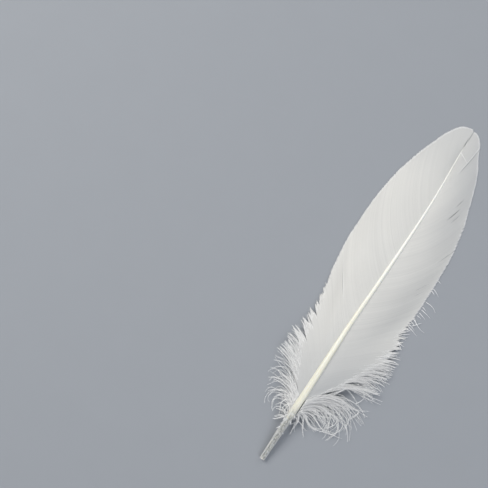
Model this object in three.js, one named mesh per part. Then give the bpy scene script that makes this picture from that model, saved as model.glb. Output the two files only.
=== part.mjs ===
// A goose quill feather, laid down with its back (dorsal side) up.
// It rests on the cut end of the quill, on the margins of both vanes and on the ends of its down.
//
// Units are millimetres and +Z is up. The feather is drawn with the cut end of the quill at y = 0,
// its tip at y = LENGTH and its right vane towards +X, and the whole group is then moved so that
// the origin lies under the middle of its box, on the surface that it rests on.
import * as THREE from "three";

// ---------------------------------------------------------------- driving dimensions

const LENGTH = 180;

// The quill and the rachis are one tapering shaft: [y, value] along the feather.
const SHAFT_SIDEWAYS = [[0, -0.1], [25, -0.3], [70, -0.45], [100, 0.4], [140, 1.3], [168, 0.25]];
const SHAFT_HEIGHT = [[0, 1.35], [22, 4.3], [50, 7], [80, 7.7], [110, 6.4], [140, 3.4], [168, 0.5]];
const SHAFT_HALF_WIDTH = [
  [0, 1.3], [10, 1.5], [24, 1.75], [36, 1.7], [57, 1.45], [78, 1.1],
  [100, 0.95], [120, 0.75], [142, 0.55], [158, 0.38], [168, 0.2],
];
const SHAFT_END = 168;
const SHAFT_STATIONS = 42;
const SHAFT_SIDES = 16;

// The calamus is a hollow barrel, open at its cut end and closed by a dome.
const BARREL_WALL = 0.3;
const BARREL_DOME_START = 22;
const BARREL_DEPTH = 26;
const BARREL_STATIONS = 12;

// The dried pulp in the barrel: shrivelled caps on one thread, [distance along it, radius].
const PULP_START = 4;
const PULP_END = 20;
const PULP_PROFILE = [
  [0, 0.45], [0.15, 0.7], [0.28, 0.3], [0.45, 0.75], [0.6, 0.28], [0.8, 0.65], [1, 0.2],
];
const PULP_SIDES = 12;

// Each row of a vane or a tuft follows one barb: [y of its root on the shaft, x and y of its tip].
const LEFT_VANE = [
  [33.4, -22, 47], [40, -22.3, 57.5], [48, -20.9, 67], [57, -19.3, 79], [66, -21.2, 94.5],
  [78, -22.4, 110.5], [92, -22, 126], [107, -20.4, 141], [118, -18, 151.5], [132, -14, 163.5],
  [149, -9, 174.5], [160, -5.4, 178.6], [165, -3.3, 179.5], [SHAFT_END, -0.3, LENGTH],
];
const RIGHT_VANE = [
  [33.4, 31.5, 49.5], [40, 30.2, 58.5], [48, 28.8, 67], [57, 27.4, 77], [66, 24.8, 89],
  [78, 23.9, 104.5], [92, 23.5, 121], [107, 20.9, 138.5], [118, 17.3, 150.5], [132, 12.6, 163.5],
  [149, 7, 174.2], [160, 3.4, 178.2], [165, 1.9, 179.3], [SHAFT_END, 0.3, LENGTH],
];
const LEFT_DOWN = [[19.5, -5, 16.5], [23, -10, 18.5], [26, -15, 22], [29, -19, 29], [32, -21.5, 44]];
const RIGHT_DOWN = [[19.5, 6, 16], [22.5, 14, 18], [25, 22, 22], [28, 28, 28], [32, 32, 46]];

const VANE_THICKNESS = 0.5;
const DOWN_THICKNESS = 1.6;
const VANE_ROWS = 34;
const DOWN_ROWS = 9;
const SHEET_COLUMNS = 8;

// Above 1, the rows stand closer together towards the tip, where the margin turns fastest.
const ROW_CROWDING = 1.5;

// A barb leaves the shaft at a wide angle and turns towards the tip: where its curve's middle
// control point stands between root and tip, across and along the feather.
const BARB_BEND_ACROSS = 0.62;
const BARB_BEND_ALONG = 0.45;

// A vane arches down from the shaft: the last column of its width lies flat on the surface.
const MARGIN_LYING_FLAT = 1 / SHEET_COLUMNS;
const CAMBER_POWER = 1.7;

// Pieces that grow from each other are kept just clear of each other.
const CLEARANCE = 0.3;

// ---------------------------------------------------------------- finishes

const KERATIN = new THREE.MeshStandardMaterial({ color: 0xf2efe2, roughness: 0.35, metalness: 0 });
const DRIED_PULP = new THREE.MeshStandardMaterial({ color: 0xe8e4d4, roughness: 0.8, metalness: 0 });
const VANE_WHITE = new THREE.MeshStandardMaterial({ color: 0xdad8d0, roughness: 0.7, metalness: 0 });
const DOWN_WHITE = new THREE.MeshStandardMaterial({ color: 0xe6e6e2, roughness: 0.9, metalness: 0 });

// ---------------------------------------------------------------- curves and closed shapes

// Reads smooth values off a table of [station, ...values] rows. The slope at each row is limited,
// so that the curve never swings past the rows on either side of it.
function smoothTable(rows) {
  const last = rows.length - 1;
  const width = rows[0].length - 1;
  const rise = (i, k) => (rows[i + 1][k] - rows[i][k]) / (rows[i + 1][0] - rows[i][0]);
  const slope = (i, k) => {
    const before = rise(Math.max(i - 1, 0), k);
    const after = rise(Math.min(i, last - 1), k);
    return before * after > 0 ? (2 * before * after) / (before + after) : 0;
  };
  return (station) => {
    const i = Math.max(0, Math.min(last - 1, rows.findLastIndex((row) => row[0] <= station)));
    const gap = rows[i + 1][0] - rows[i][0];
    const t = (station - rows[i][0]) / gap;
    return Array.from({ length: width }, (_, column) => {
      const k = column + 1;
      const startHold = (1 + 2 * t) * (1 - t) ** 2;
      const endHold = t * t * (3 - 2 * t);
      const startPull = t * (1 - t) ** 2 * gap * slope(i, k);
      const endPull = t * t * (t - 1) * gap * slope(i + 1, k);
      return startHold * rows[i][k] + endHold * rows[i + 1][k] + startPull + endPull;
    });
  };
}

const sideways = smoothTable(SHAFT_SIDEWAYS);
const height = smoothTable(SHAFT_HEIGHT);
const halfWidth = smoothTable(SHAFT_HALF_WIDTH);

// The middle of the shaft at a distance y from the cut end.
function shaftCentre(y) {
  return new THREE.Vector3(sideways(y)[0], y, height(y)[0]);
}

function spread(from, to, count) {
  return Array.from({ length: count + 1 }, (_, i) => from + ((to - from) * i) / count);
}

function solidFrom(points, triangles) {
  const geometry = new THREE.BufferGeometry();
  geometry.setAttribute("position", new THREE.Float32BufferAttribute(points.flat(), 3));
  geometry.setIndex(triangles.flat());
  geometry.computeVertexNormals();
  return geometry;
}

// Skins a chain of rings, each { y, radius }, from one point on the axis to another.
// The chain may turn back on itself, which makes the open bore of a barrel.
function ringChain(rings, startPoint, endPoint, sides) {
  const points = [startPoint.toArray()];
  for (const { y, radius } of rings) {
    const centre = shaftCentre(y);
    for (let i = 0; i < sides; i += 1) {
      const angle = (2 * Math.PI * i) / sides;
      points.push([centre.x + radius * Math.cos(angle), y, centre.z + radius * Math.sin(angle)]);
    }
  }
  points.push(endPoint.toArray());
  const triangles = [];
  const at = (ring, side) => 1 + ring * sides + (side % sides);
  const finalRing = rings.length - 1;
  for (let i = 0; i < sides; i += 1) {
    triangles.push([0, at(0, i + 1), at(0, i)]);
    for (let ring = 0; ring < finalRing; ring += 1) {
      triangles.push([at(ring, i), at(ring, i + 1), at(ring + 1, i + 1)]);
      triangles.push([at(ring, i), at(ring + 1, i + 1), at(ring + 1, i)]);
    }
    triangles.push([at(finalRing, i), at(finalRing, i + 1), points.length - 1]);
  }
  return solidFrom(points, triangles);
}

// ---------------------------------------------------------------- the shaft and its pulp

// Quill and rachis in one: down the outside from the thin end, round the cut rim, up the bore.
function quillShaft() {
  const outside = spread(SHAFT_END, 0, SHAFT_STATIONS).map((y) => ({ y, radius: halfWidth(y)[0] }));
  const bore = spread(0, BARREL_DEPTH, BARREL_STATIONS).slice(0, -1).map((y) => {
    const past = Math.max(0, (y - BARREL_DOME_START) / (BARREL_DEPTH - BARREL_DOME_START));
    return { y, radius: (halfWidth(y)[0] - BARREL_WALL) * Math.sqrt(1 - past * past) };
  });
  const point = shaftCentre(SHAFT_END);
  point.y += halfWidth(SHAFT_END)[0];
  return ringChain([...outside, ...bore], point, shaftCentre(BARREL_DEPTH), SHAFT_SIDES);
}

// The caps of dried pulp, turned about their own thread and laid along the barrel.
function driedPulp() {
  const from = shaftCentre(PULP_START);
  const along = shaftCentre(PULP_END).sub(from);
  const length = along.length();
  const profile = [new THREE.Vector2(0, 0)];
  PULP_PROFILE.forEach(([part, radius]) => profile.push(new THREE.Vector2(radius, part * length)));
  profile.push(new THREE.Vector2(0, length));
  const mesh = new THREE.Mesh(new THREE.LatheGeometry(profile, PULP_SIDES), DRIED_PULP);
  mesh.position.copy(from);
  mesh.quaternion.setFromUnitVectors(new THREE.Vector3(0, 1, 0), along.normalize());
  return mesh;
}

// ---------------------------------------------------------------- vanes and tufts

// The middle surface of a sheet of barbs, part of the way (0 to 1) along the barb of one row.
function barbPoint(root, tip, part, lift) {
  const bend = [
    root.x + (tip.x - root.x) * BARB_BEND_ACROSS,
    root.y + (tip.y - root.y) * BARB_BEND_ALONG,
  ];
  const [a, b, c] = [(1 - part) ** 2, 2 * part * (1 - part), part ** 2];
  const arched = Math.min(1, part / (1 - MARGIN_LYING_FLAT)) ** CAMBER_POWER;
  return [
    a * root.x + b * bend[0] + c * tip.x,
    a * root.y + b * bend[1] + c * tip.y,
    root.z + (lift - root.z) * arched,
  ];
}

// A closed sheet of even thickness, whose rows run along the barbs from the shaft to the margin.
function barbSheet(table, rowCount, thickness, side) {
  const half = thickness / 2;
  const tips = smoothTable(table);
  const [firstRoot, lastRoot] = [table[0][0], table.at(-1)[0]];
  const rootRange = lastRoot - firstRoot;
  const roots = spread(1, 0, rowCount).map((left) => lastRoot - rootRange * left ** ROW_CROWDING);
  const columns = SHEET_COLUMNS + 1;
  const points = [];
  for (const y of roots) {
    const root = shaftCentre(y);
    root.x += side * (halfWidth(y)[0] + CLEARANCE);
    root.z = Math.max(root.z, half);
    const [tipX, tipY] = tips(y);
    for (const part of spread(0, 1, SHEET_COLUMNS)) {
      const [x, along, z] = barbPoint(root, { x: tipX, y: tipY }, part, half);
      points.push([x, along, z + half], [x, along, z - half]);
    }
  }
  const at = (row, column) => 2 * (row * columns + column);
  const under = (row, column) => at(row, column) + 1;
  const quads = [];
  for (let row = 0; row < rowCount; row += 1) {
    const next = row + 1;
    for (let column = 0; column < SHEET_COLUMNS; column += 1) {
      const beyond = column + 1;
      quads.push([at(row, column), at(row, beyond), at(next, beyond), at(next, column)]);
      quads.push([under(row, column), under(next, column), under(next, beyond), under(row, beyond)]);
    }
    const rim = SHEET_COLUMNS;
    quads.push([at(row, 0), at(next, 0), under(next, 0), under(row, 0)]);
    quads.push([under(row, rim), under(next, rim), at(next, rim), at(row, rim)]);
  }
  for (let column = 0; column < SHEET_COLUMNS; column += 1) {
    const beyond = column + 1;
    quads.push([under(0, column), under(0, beyond), at(0, beyond), at(0, column)]);
    const top = rowCount;
    quads.push([at(top, column), at(top, beyond), under(top, beyond), under(top, column)]);
  }
  const outward = side > 0 ? quads : quads.map((quad) => quad.toReversed());
  return solidFrom(points, outward.flatMap(([a, b, c, d]) => [[a, b, c], [a, c, d]]));
}

// ---------------------------------------------------------------- the feather

const feather = new THREE.Group();

function addPiece(name, mesh) {
  mesh.name = name;
  feather.add(mesh);
}

addPiece("quill_shaft", new THREE.Mesh(quillShaft(), KERATIN));
addPiece("quill_pulp", driedPulp());
addPiece("left_vane", new THREE.Mesh(barbSheet(LEFT_VANE, VANE_ROWS, VANE_THICKNESS, -1), VANE_WHITE));
addPiece("right_vane", new THREE.Mesh(barbSheet(RIGHT_VANE, VANE_ROWS, VANE_THICKNESS, 1), VANE_WHITE));
addPiece("left_down", new THREE.Mesh(barbSheet(LEFT_DOWN, DOWN_ROWS, DOWN_THICKNESS, -1), DOWN_WHITE));
addPiece("right_down", new THREE.Mesh(barbSheet(RIGHT_DOWN, DOWN_ROWS, DOWN_THICKNESS, 1), DOWN_WHITE));

feather.updateMatrixWorld(true);
const box = new THREE.Box3().setFromObject(feather, true);
const middle = box.getCenter(new THREE.Vector3());
feather.position.set(-middle.x, -middle.y, -box.min.z);

const group = new THREE.Group();
group.add(feather);

export default group;
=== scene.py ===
"""Looks of a goose quill feather that lies on a pale table, back side up.

The feather is drawn in millimetres, from the cut end of the quill (y = 0) to the tip of the vane, with
+x over the right vane and +z up. Lay.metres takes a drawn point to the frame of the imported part.
"""

import logging
import math
from dataclasses import dataclass
from enum import Enum
from typing import Any, Sequence

import bmesh
import bpy
import numpy as np
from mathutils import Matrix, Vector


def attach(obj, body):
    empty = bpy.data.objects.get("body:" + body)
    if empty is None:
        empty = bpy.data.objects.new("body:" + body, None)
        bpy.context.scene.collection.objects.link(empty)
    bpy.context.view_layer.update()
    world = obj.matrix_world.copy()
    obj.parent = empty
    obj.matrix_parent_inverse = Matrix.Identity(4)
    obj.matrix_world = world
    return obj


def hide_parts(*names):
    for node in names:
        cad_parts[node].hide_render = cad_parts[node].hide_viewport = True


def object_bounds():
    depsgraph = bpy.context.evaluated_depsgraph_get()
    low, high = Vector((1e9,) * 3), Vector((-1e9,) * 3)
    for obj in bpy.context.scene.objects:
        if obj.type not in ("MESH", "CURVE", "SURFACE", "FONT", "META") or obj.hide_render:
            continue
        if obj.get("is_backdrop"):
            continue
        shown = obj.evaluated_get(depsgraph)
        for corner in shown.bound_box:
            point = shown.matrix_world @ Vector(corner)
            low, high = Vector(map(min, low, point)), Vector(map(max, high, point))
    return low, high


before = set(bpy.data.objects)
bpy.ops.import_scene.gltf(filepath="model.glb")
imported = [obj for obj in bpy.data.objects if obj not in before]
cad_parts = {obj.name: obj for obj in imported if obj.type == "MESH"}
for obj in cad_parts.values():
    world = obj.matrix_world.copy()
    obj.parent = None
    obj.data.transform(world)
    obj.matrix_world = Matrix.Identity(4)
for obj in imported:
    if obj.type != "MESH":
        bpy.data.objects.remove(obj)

LOG = logging.getLogger("feather")
MM = 0.001
UP = np.array([0, 0, 1.0])
Rows = Sequence[Sequence[float]]
Span = tuple[float, float]
Colour = tuple[float, float, float]


# ------------------------------------------------------------------ the drawn feather


class Side(Enum):
    """A side of the shaft, as seen from above with the tip away from the viewer."""

    LEFT = -1
    RIGHT = 1


class Track:
    """Smooth values along a line, read off a few rows of (station, value, ...)."""

    def __init__(self, rows: Rows) -> None:
        """Works out a slope at each row that never swings past the rows beside it.

        Args:
            rows: The stations in rising order, each with its values.
        """
        table = np.array(rows, float)
        self.stations = table[:, 0]
        self.values = table[:, 1:]
        self.gaps = np.diff(self.stations)
        rise = np.diff(self.values, axis=0) / self.gaps[:, None]
        before = np.vstack([rise[:1], rise])
        after = np.vstack([rise, rise[-1:]])
        same_way = before * after > 0
        total = np.where(same_way, before + after, 1.0)
        self.slopes = np.where(same_way, 2 * before * after / total, 0.0)

    def __call__(self, station: np.ndarray | float) -> np.ndarray:
        """Reads the values at some stations.

        Args:
            station: One station or an array of them.

        Returns:
            An array of the stations' shape, with one more axis if there are several values.
        """
        where = np.clip(np.asarray(station, float), self.stations[0], self.stations[-1])
        i = np.clip(np.searchsorted(self.stations, where, side="right") - 1, 0, len(self.gaps) - 1)
        gap = self.gaps[i][..., None]
        t = (where[..., None] - self.stations[i][..., None]) / gap
        hold = (1 + 2 * t) * (1 - t) ** 2 * self.values[i] + t * t * (3 - 2 * t) * self.values[i + 1]
        pull = t * (1 - t) ** 2 * self.slopes[i] + t * t * (t - 1) * self.slopes[i + 1]
        found = hold + gap * pull
        return found[..., 0] if found.shape[-1] == 1 else found


def ease(value: np.ndarray, start: float | np.ndarray, end: float | np.ndarray) -> np.ndarray:
    """A soft step: 0 up to start, 1 from end on."""
    t = np.clip((value - start) / (end - start), 0, 1)
    return t * t * (3 - 2 * t)


def unit(vectors: np.ndarray) -> np.ndarray:
    """The vectors, each made one long."""
    return vectors / np.maximum(np.linalg.norm(vectors, axis=-1, keepdims=True), 1e-9)


def lengths(lines: np.ndarray) -> np.ndarray:
    """The length of each of some lines, over (line, place, coordinate)."""
    return np.linalg.norm(np.diff(lines, axis=1), axis=2).sum(axis=1)


class Lay:
    """Where the feather lies: takes drawn millimetres to metres in the part's frame.

    The drawing's x of right_reach comes to the right side of the CAD nodes' box.
    """

    right_reach = 32.0

    def __init__(self) -> None:
        """Works out how far the drawing is moved, from the box of the CAD nodes."""
        low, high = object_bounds()
        self.shift = np.array([high[0] / MM - self.right_reach, low[1] / MM, 0.0])

    def metres(self, points: np.ndarray) -> np.ndarray:
        """Takes points in drawn millimetres, in rows of three, to metres in the part's frame."""
        return (np.asarray(points, float) + self.shift) * MM


@dataclass(frozen=True)
class ShaftLine:
    """The line and thickness of quill and rachis, which every other piece grows from."""

    end: float = 172.0
    sideways: Track = Track(
        ((0, -0.1), (25, -0.3), (70, -0.45), (100, 0.4), (140, 1.3), (168, 0.25), (173, 0.05))
    )
    height: Track = Track(
        ((0, 1.35), (22, 4.3), (50, 7), (80, 7.7), (110, 6.4), (140, 3.4), (168, 0.5), (173, 0.3))
    )
    half_width: Track = Track(
        ((0, 1.3), (10, 1.5), (24, 1.75), (36, 1.7), (57, 1.45), (78, 1.1), (100, 0.95),
         (120, 0.75), (142, 0.48), (158, 0.31), (168, 0.15), (173, 0.06))
    )

    def centre(self, y: np.ndarray | float) -> np.ndarray:
        """Points on the middle of the shaft, y millimetres from its cut end."""
        y = np.asarray(y, float)
        return np.stack([self.sideways(y), y, self.height(y)], axis=-1)


SHAFT_LINE = ShaftLine()
LAY = Lay()


# ------------------------------------------------------------------ shader graphs


class Wire:
    """One output of a shader graph. Python's operators on it add Math nodes."""

    def __init__(self, graph: "Graph", socket: Any) -> None:
        """Holds a socket and the graph it belongs to."""
        self.graph = graph
        self.socket = socket

    def math(self, operation: str, first: Any, second: Any = 0.0) -> "Wire":
        """Adds a Math node on two values, each a Wire or a number."""
        return self.graph.node("ShaderNodeMath", {"operation": operation}, {0: first, 1: second})

    def __add__(self, other: Any) -> "Wire":
        """Self plus other."""
        return self.math("ADD", self, other)

    def __radd__(self, other: Any) -> "Wire":
        """Other plus self."""
        return self.math("ADD", other, self)

    def __sub__(self, other: Any) -> "Wire":
        """Self less other."""
        return self.math("SUBTRACT", self, other)

    def __rsub__(self, other: Any) -> "Wire":
        """Other less self."""
        return self.math("SUBTRACT", other, self)

    def __mul__(self, other: Any) -> "Wire":
        """Self times other."""
        return self.math("MULTIPLY", self, other)

    def __rmul__(self, other: Any) -> "Wire":
        """Other times self."""
        return self.math("MULTIPLY", other, self)

    def __abs__(self) -> "Wire":
        """Self without its sign."""
        return self.math("ABSOLUTE", self)

    def step(self, start: float, end: float) -> "Wire":
        """A soft step: 0 at start, 1 at end, held outside them."""
        settings = {"interpolation_type": "SMOOTHSTEP"}
        return self.graph.node("ShaderNodeMapRange", settings, {0: self, 1: start, 2: end})


class Graph:
    """A material under construction."""

    def __init__(self, name: str) -> None:
        """Starts an empty material.

        Args:
            name: The material's name.
        """
        self.material = bpy.data.materials.new(name)
        self.material.use_nodes = True
        self.tree = self.material.node_tree
        self.tree.nodes.clear()

    def node(
        self, kind: str, settings: dict | None = None, sockets: dict | None = None, output: int | str = 0
    ) -> Wire:
        """Adds any node.

        Args:
            kind: The node's type.
            settings: Its properties.
            sockets: Values or Wires by socket name or number.
            output: Which of its outputs is returned.

        Returns:
            That output.
        """
        made = self.tree.nodes.new(kind)
        for name, value in (settings or {}).items():
            setattr(made, name, value)
        for name, value in (sockets or {}).items():
            socket = made.inputs[name]
            if isinstance(value, Wire):
                self.tree.links.new(value.socket, socket)
            elif socket.type == "RGBA":
                socket.default_value = (*value, 1.0)
            else:
                socket.default_value = value
        return Wire(self, made.outputs[output])

    def place(self) -> Wire:
        """Object coordinates."""
        return self.node("ShaderNodeTexCoord", output="Object")

    def _drawn(self, axis: int) -> Wire:
        """One of the drawn coordinates, in millimetres."""
        apart = self.node("ShaderNodeSeparateXYZ", sockets={0: self.place()}, output=axis)
        return apart * (1 / MM) - float(LAY.shift[axis])

    def along(self) -> Wire:
        """Distance from the cut end of the quill towards the tip, in millimetres."""
        return self._drawn(1)

    def across(self) -> Wire:
        """Distance to the right of the drawn middle line, in millimetres."""
        return self._drawn(0)

    def noise(self, scale: float | Sequence[float], detail: float = 2.0) -> Wire:
        """Adds noise over Object coordinates.

        Args:
            scale: How fine it is. Three numbers set that for each axis, so that it runs one way.
            detail: How many finer layers it has.

        Returns:
            The noise, between 0 and 1.
        """
        place = self.place()
        if not isinstance(scale, float):
            place = self.node("ShaderNodeMapping", sockets={"Vector": place, "Scale": scale})
            scale = 1.0
        sockets = {"Vector": place, "Scale": scale, "Detail": detail}
        return self.node("ShaderNodeTexNoise", sockets=sockets)

    def attribute(self, name: str) -> Wire:
        """A number kept on the mesh."""
        return self.node("ShaderNodeAttribute", {"attribute_name": name}, output="Fac")

    def mix(self, factor: Any, first: Any, second: Any) -> Wire:
        """A blend of two colours, each a Wire or three numbers."""
        sockets = {0: factor, 6: first, 7: second}
        return self.node("ShaderNodeMix", {"data_type": "RGBA"}, sockets, output=2)

    def bump(self, height: Wire, strength: float, distance: float) -> Wire:
        """A surface normal from a height between 0 and 1."""
        sockets = {"Height": height, "Strength": strength, "Distance": distance}
        return self.node("ShaderNodeBump", sockets=sockets)

    def surface(self, **sockets: Any) -> Wire:
        """A Principled surface. A socket's name is written with _ for each space."""
        named = {name.replace("_", " "): value for name, value in sockets.items()}
        return self.node("ShaderNodeBsdfPrincipled", sockets=named)

    def finish(self, shader: Wire) -> bpy.types.Material:
        """Ends the graph.

        Args:
            shader: What becomes the material's surface.

        Returns:
            The material.
        """
        end = self.tree.nodes.new("ShaderNodeOutputMaterial")
        self.tree.links.new(shader.socket, end.inputs["Surface"])
        return self.material


# ------------------------------------------------------------------ finishes


@dataclass(frozen=True)
class HornFinish:
    """The horn of the shaft: clear at the quill, cream and filled with white pith further up.

    A span runs over millimetres from the cut end of the quill, but flank to either side of middle.
    """

    cream: Colour = (0.87, 0.845, 0.70)
    ivory: Colour = (0.92, 0.91, 0.80)
    fleck: Colour = (0.52, 0.46, 0.34)
    white: Colour = (0.95, 0.94, 0.875)
    # The barrel's milky horn, painted lighter on its flanks as a highlight, then the painted shade of
    # its middle, where the bore shows through.
    milk_and_flank_highlight: Colour = (0.88, 0.89, 0.86)
    see_through_shade: Colour = (0.29, 0.30, 0.28)
    clear: Colour = (0.96, 0.97, 0.96)
    cut_edge: Span = (0.3, 0.9)
    fills: Span = (17.0, 32.0)
    turns_cream: Span = (23.0, 35.0)
    turns_white: Span = (55.0, 130.0)
    gets_grubby: Span = (12.0, 20.0)
    gets_clean: Span = (30.0, 44.0)
    flank: Span = (0.45, 1.15)
    middle: float = -0.22
    least_opaque: float = 0.52

    def build(self) -> bpy.types.Material:
        """Makes the material.

        Returns:
            The material.
        """
        graph = Graph("Feather_Horn")
        streaks = graph.noise((1400, 45, 1400), 3.0)
        blotches = graph.noise(900.0, 4.0)
        along = graph.along()
        # The filled shaft is streaked cream. The barrel's middle is painted shade where the bore shows
        # through, and its milky flanks are painted lighter as a painted highlight on the walls seen
        # edge-on.
        body = graph.mix(streaks.step(0.35, 0.65), self.cream, self.ivory)
        body = graph.mix(along.step(*self.turns_white), body, self.white)
        # Painted highlight on the flanks and painted shade in the middle of the barrel, over milky
        # patches of the horn's own.
        flank = abs(graph.across() - self.middle).step(*self.flank)
        patches = graph.noise((1100, 500, 1100), 4.0)
        hollow = graph.mix(flank * 0.75 + patches.step(0.42, 0.62) * 0.6, self.see_through_shade, self.milk_and_flank_highlight)
        crumbs = graph.noise(1500.0, 3.0).step(0.6, 0.66)
        hollow = graph.mix(crumbs * 0.9 + (1 - along.step(*self.cut_edge)), hollow, self.white)
        body = graph.mix((along + blotches * 6).step(*self.turns_cream), hollow, body)
        # Grubby flecks lie where the barrel ends and the fluff starts.
        grubby = along.step(*self.gets_grubby) * (1 - (along + streaks * 8).step(*self.gets_clean))
        flecked = graph.mix(grubby * blotches.step(0.56, 0.72) * 0.45, body, self.fleck)
        relief = graph.bump(streaks * 0.7 + blotches * 0.3, 0.35, 0.0001)
        filled = graph.surface(
            Base_Color=flecked, Roughness=0.34, Coat_Weight=0.25, Coat_Roughness=0.2, Normal=relief,
            Subsurface_Weight=0.2, Subsurface_Radius=(1.0, 0.9, 0.7), Subsurface_Scale=0.0008,
        )
        horn = graph.surface(
            Base_Color=self.clear, Roughness=0.16, IOR=1.54, Transmission_Weight=0.82, Normal=relief,
        )
        opaque = (along + blotches * 9 - 4.5).step(*self.fills)
        opaque = opaque * (1 - self.least_opaque) + self.least_opaque
        return graph.finish(graph.node("ShaderNodeMixShader", sockets={0: opaque, 1: horn, 2: filled}))


@dataclass(frozen=True)
class PulpFinish:
    """The dry membrane of the caps in the barrel."""

    pale: Colour = (0.86, 0.84, 0.76)
    shade: Colour = (0.55, 0.52, 0.43)

    def build(self) -> bpy.types.Material:
        """Makes the material.

        Returns:
            The material.
        """
        graph = Graph("Dried_Pulp")
        crumple = graph.noise(1600.0, 4.0)
        colour = graph.mix(crumple.step(0.35, 0.6), self.shade, self.pale)
        relief = graph.bump(crumple, 0.6, 0.0002)
        return graph.finish(graph.surface(Base_Color=colour, Roughness=0.75, Normal=relief))


@dataclass(frozen=True)
class VaneFinish:
    """The silky web: every barb has its own tone, the outermost margin carries a painted highlight, and
    loose ends are whiter.

    The web is painted greyer, as painted shade, over the spans along the feather and the span across it.
    """

    shade: Colour = (0.61, 0.607, 0.585)
    light: Colour = (0.74, 0.735, 0.705)
    # Painted shade, laid over the web towards the tip, over the right vane's outer part and towards the
    # foot.
    painted_shade: Colour = (0.50, 0.51, 0.515)
    # Near white for the margin's and torn edges' painted highlight, and the own white of loose ends and
    # hairs.
    white_and_highlight: Colour = (0.98, 0.98, 0.98)
    tip: Span = (138.0, 176.0)
    outer: Span = (112.0, 142.0)
    outer_across: Span = (0.0, 14.0)
    foot: Span = (34.0, 84.0)

    def build(self) -> bpy.types.Material:
        """Makes the material.

        Returns:
            The material.
        """
        graph = Graph("Vane_Web")
        web = graph.mix(graph.attribute("tone") * 0.6 + graph.noise(45.0) * 0.4, self.shade, self.light)
        along = graph.along()
        # Painted shade: the web is painted greyer towards the tip, over the right vane's outer part
        # further up, and towards the foot.
        outer_shade = along.step(*self.outer) * graph.across().step(*self.outer_across) * 0.42
        foot = (1 - along.step(*self.foot)) * 0.72
        web = graph.mix(along.step(*self.tip) * 0.5 + outer_shade + foot, web, self.painted_shade)
        # The margin and the lifted torn edges get a painted highlight in near white; loose ends and
        # hairs take the same white as their own colour.
        colour = graph.mix(graph.attribute("white_and_highlight"), web, self.white_and_highlight)
        hooks = graph.bump(graph.noise((5200, 2600, 5200)), 0.15, 0.00004)
        return graph.finish(
            graph.surface(
                Base_Color=colour, Roughness=0.58, Normal=hooks, Sheen_Weight=0.25, Sheen_Roughness=0.4
            )
        )


@dataclass(frozen=True)
class DownFinish:
    """The loose fluff, whiter and duller than the web."""

    shade: Colour = (0.86, 0.86, 0.855)
    light: Colour = (0.96, 0.96, 0.955)

    def build(self) -> bpy.types.Material:
        """Makes the material.

        Returns:
            The material.
        """
        graph = Graph("Down_Fluff")
        colour = graph.mix(graph.attribute("tone"), self.shade, self.light)
        return graph.finish(
            graph.surface(Base_Color=colour, Roughness=0.8, Sheen_Weight=0.3, Sheen_Roughness=0.5)
        )


@dataclass(frozen=True)
class TableFinish:
    """The plain pale table that the feather lies on."""

    colour: Colour = (0.33, 0.35, 0.38)
    darkest: float = 0.97

    def build(self) -> bpy.types.Material:
        """Makes the material.

        Returns:
            The material.
        """
        graph = Graph("Table_Top")
        darker = tuple(self.darkest * part for part in self.colour)
        colour = graph.mix(graph.noise(60.0, 3.0), darker, self.colour)
        return graph.finish(graph.surface(Base_Color=colour, Roughness=0.8))


# ------------------------------------------------------------------ fibres as joined meshes


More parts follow.
